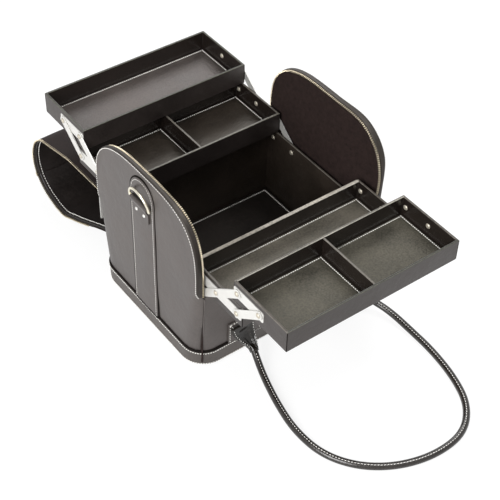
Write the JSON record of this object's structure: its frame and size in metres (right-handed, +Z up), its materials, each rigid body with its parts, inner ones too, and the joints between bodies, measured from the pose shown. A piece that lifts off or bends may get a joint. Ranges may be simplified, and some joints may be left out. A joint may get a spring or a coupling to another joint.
{
  "type": "vanity case",
  "caption": "Leather vanity case with an arched zip cover laid open, fold-out cantilever trays on each long side, a deep inner box, a rolled handle and a ring on each end.",
  "frame": {"origin": "on the ground under the middle of the case's base", "axes": "X along the case's length, -Y towards the front handle, +Y towards the opened cover, Z up"},
  "size_m": [0.3008, 0.6865, 0.245],
  "materials": {
    "black_leather": "smooth leather with a fine grain and a satin sheen",
    "tray_leather": "leatherette over board, satin",
    "handle_leather": "rolled leather, semi-gloss",
    "lining_cloth": "matt dark lining",
    "pad_cloth": "padded floor with a stitched edge",
    "zip_cloth": "woven zip tape",
    "zip_metal": "pale polished brass",
    "link_steel": "bright nickel plate",
    "rail_steel": "bright strip",
    "board": "hidden stiffening board",
    "foam": "hidden padding",
    "ring_metal": "pale polished brass"
  },
  "bodies": {
    "case": {"base_pan": "black_leather", "base_board": "board", "base_padding": "foam", "inner_box": "tray_leather", "inner_box_pad": "pad_cloth", "box_rivets": "link_steel", "front_wall_leather": "black_leather", "back_wall_leather": "black_leather", "wall_boards": "board", "wall_linings": "lining_cloth", "left_end_panel": "black_leather", "right_end_panel": "black_leather", "end_cores": "foam", "end_linings": "lining_cloth", "end_gussets": "black_leather", "end_zip_tapes": "zip_cloth", "end_zip_teeth": "zip_metal", "ring_straps": "black_leather", "ring_tabs": "black_leather", "ring_studs": "ring_metal", "zip_sliders": "zip_metal", "handle_straps": "black_leather"},
    "back_lower_tray": {"back_lower_tray": "tray_leather", "back_lower_pad": "pad_cloth", "back_lower_rails": "rail_steel", "back_lower_rivets": "link_steel", "back_lower_divider": "tray_leather"},
    "back_upper_tray": {"back_upper_tray": "tray_leather", "back_upper_pad": "pad_cloth", "back_upper_rails": "rail_steel", "back_upper_rivets": "link_steel"},
    "front_lower_tray": {"front_lower_tray": "tray_leather", "front_lower_pad": "pad_cloth", "front_lower_rails": "rail_steel", "front_lower_rivets": "link_steel"},
    "front_upper_tray": {"front_upper_tray": "tray_leather", "front_upper_pad": "pad_cloth", "front_upper_rails": "rail_steel", "front_upper_rivets": "link_steel", "front_upper_divider": "tray_leather"},
    "back_long_links": {"back_long_link_left": "link_steel", "back_long_link_right": "link_steel"},
    "back_lower_links": {"back_lower_links": "link_steel"},
    "back_upper_links": {"back_upper_links": "link_steel"},
    "front_long_links": {"front_long_link_left": "link_steel", "front_long_link_right": "link_steel"},
    "front_lower_links": {"front_lower_links": "link_steel"},
    "front_upper_links": {"front_upper_links": "link_steel"},
    "cover": {"cover_leather": "black_leather", "cover_lining": "lining_cloth", "cover_zip_tapes": "zip_cloth", "cover_zip_teeth": "zip_metal"},
    "handle": {"front_handle": "handle_leather", "handle_ends": "black_leather"},
    "left_ring": {"left_d_ring": "ring_metal"},
    "left_pull": {"left_zip_pull": "zip_metal"},
    "right_ring": {"right_d_ring": "ring_metal"},
    "right_pull": {"right_zip_pull": "zip_metal"}
  },
  "joints": [
    {"name": "back_swing", "type": "hinge", "parent": "case", "child": "back_long_links", "pos_m": [0, 0.089, 0.11725], "axis": [1, 0, 0], "range_deg": [0, 103.2]},
    {"name": "back_lower_tray_level", "type": "hinge", "parent": "back_long_links", "child": "back_lower_tray", "pos_m": [0, 0.12875, 0.14875], "axis": [1, 0, 0], "range_deg": [-103.2, 0]},
    {"name": "back_upper_tray_level", "type": "hinge", "parent": "back_long_links", "child": "back_upper_tray", "pos_m": [0, 0.1685, 0.18025], "axis": [1, 0, 0], "range_deg": [-103.2, 0]},
    {"name": "back_lower_links_swing", "type": "hinge", "parent": "case", "child": "back_lower_links", "pos_m": [0, 0.04925, 0.11725], "axis": [1, 0, 0], "range_deg": [0, 103.2]},
    {"name": "back_upper_links_swing", "type": "hinge", "parent": "back_lower_tray", "child": "back_upper_links", "pos_m": [0, 0.1685, 0.14875], "axis": [1, 0, 0], "range_deg": [0, 103.2]},
    {"name": "front_swing", "type": "hinge", "parent": "case", "child": "front_long_links", "pos_m": [0, -0.089, 0.11725], "axis": [-1, 0, 0], "range_deg": [0, 103.2]},
    {"name": "front_lower_tray_level", "type": "hinge", "parent": "front_long_links", "child": "front_lower_tray", "pos_m": [0, -0.12875, 0.14875], "axis": [-1, 0, 0], "range_deg": [-103.2, 0]},
    {"name": "front_upper_tray_level", "type": "hinge", "parent": "front_long_links", "child": "front_upper_tray", "pos_m": [0, -0.1685, 0.18025], "axis": [-1, 0, 0], "range_deg": [-103.2, 0]},
    {"name": "front_lower_links_swing", "type": "hinge", "parent": "case", "child": "front_lower_links", "pos_m": [0, -0.04925, 0.11725], "axis": [-1, 0, 0], "range_deg": [0, 103.2]},
    {"name": "front_upper_links_swing", "type": "hinge", "parent": "front_lower_tray", "child": "front_upper_links", "pos_m": [0, -0.1685, 0.14875], "axis": [-1, 0, 0], "range_deg": [0, 103.2]},
    {"name": "cover_hinge", "type": "hinge", "parent": "case", "child": "cover", "pos_m": [0, 0.1093, 0.1242], "axis": [1, 0, 0], "range_deg": [0, 8]},
    {"name": "handle_lift", "type": "hinge", "parent": "case", "child": "handle", "pos_m": [0, -0.1126, 0.058], "axis": [-1, 0, 0], "range_deg": [0, 35]},
    {"name": "left_ring_swing", "type": "hinge", "parent": "case", "child": "left_ring", "pos_m": [-0.14505, 0, 0.201], "axis": [0, -1, 0], "range_deg": [-12, 140]},
    {"name": "right_ring_swing", "type": "hinge", "parent": "case", "child": "right_ring", "pos_m": [0.14505, 0, 0.201], "axis": [0, 1, 0], "range_deg": [-12, 140]},
    {"name": "left_pull_swing", "type": "hinge", "parent": "case", "child": "left_pull", "pos_m": [-0.1333, 0.113, 0.12871], "axis": [1, 0, 0], "range_deg": [-3, 80]},
    {"name": "right_pull_swing", "type": "hinge", "parent": "case", "child": "right_pull", "pos_m": [0.1333, 0.113, 0.12871], "axis": [1, 0, 0], "range_deg": [-3, 80]}
  ],
  "couplings": [
    {"joint": "back_lower_tray_level", "follows": "back_swing", "ratio": -1},
    {"joint": "back_upper_tray_level", "follows": "back_swing", "ratio": -1},
    {"joint": "back_lower_links_swing", "follows": "back_swing", "ratio": 1},
    {"joint": "back_upper_links_swing", "follows": "back_swing", "ratio": 1},
    {"joint": "front_lower_tray_level", "follows": "front_swing", "ratio": -1},
    {"joint": "front_upper_tray_level", "follows": "front_swing", "ratio": -1},
    {"joint": "front_lower_links_swing", "follows": "front_swing", "ratio": 1},
    {"joint": "front_upper_links_swing", "follows": "front_swing", "ratio": 1}
  ]
}
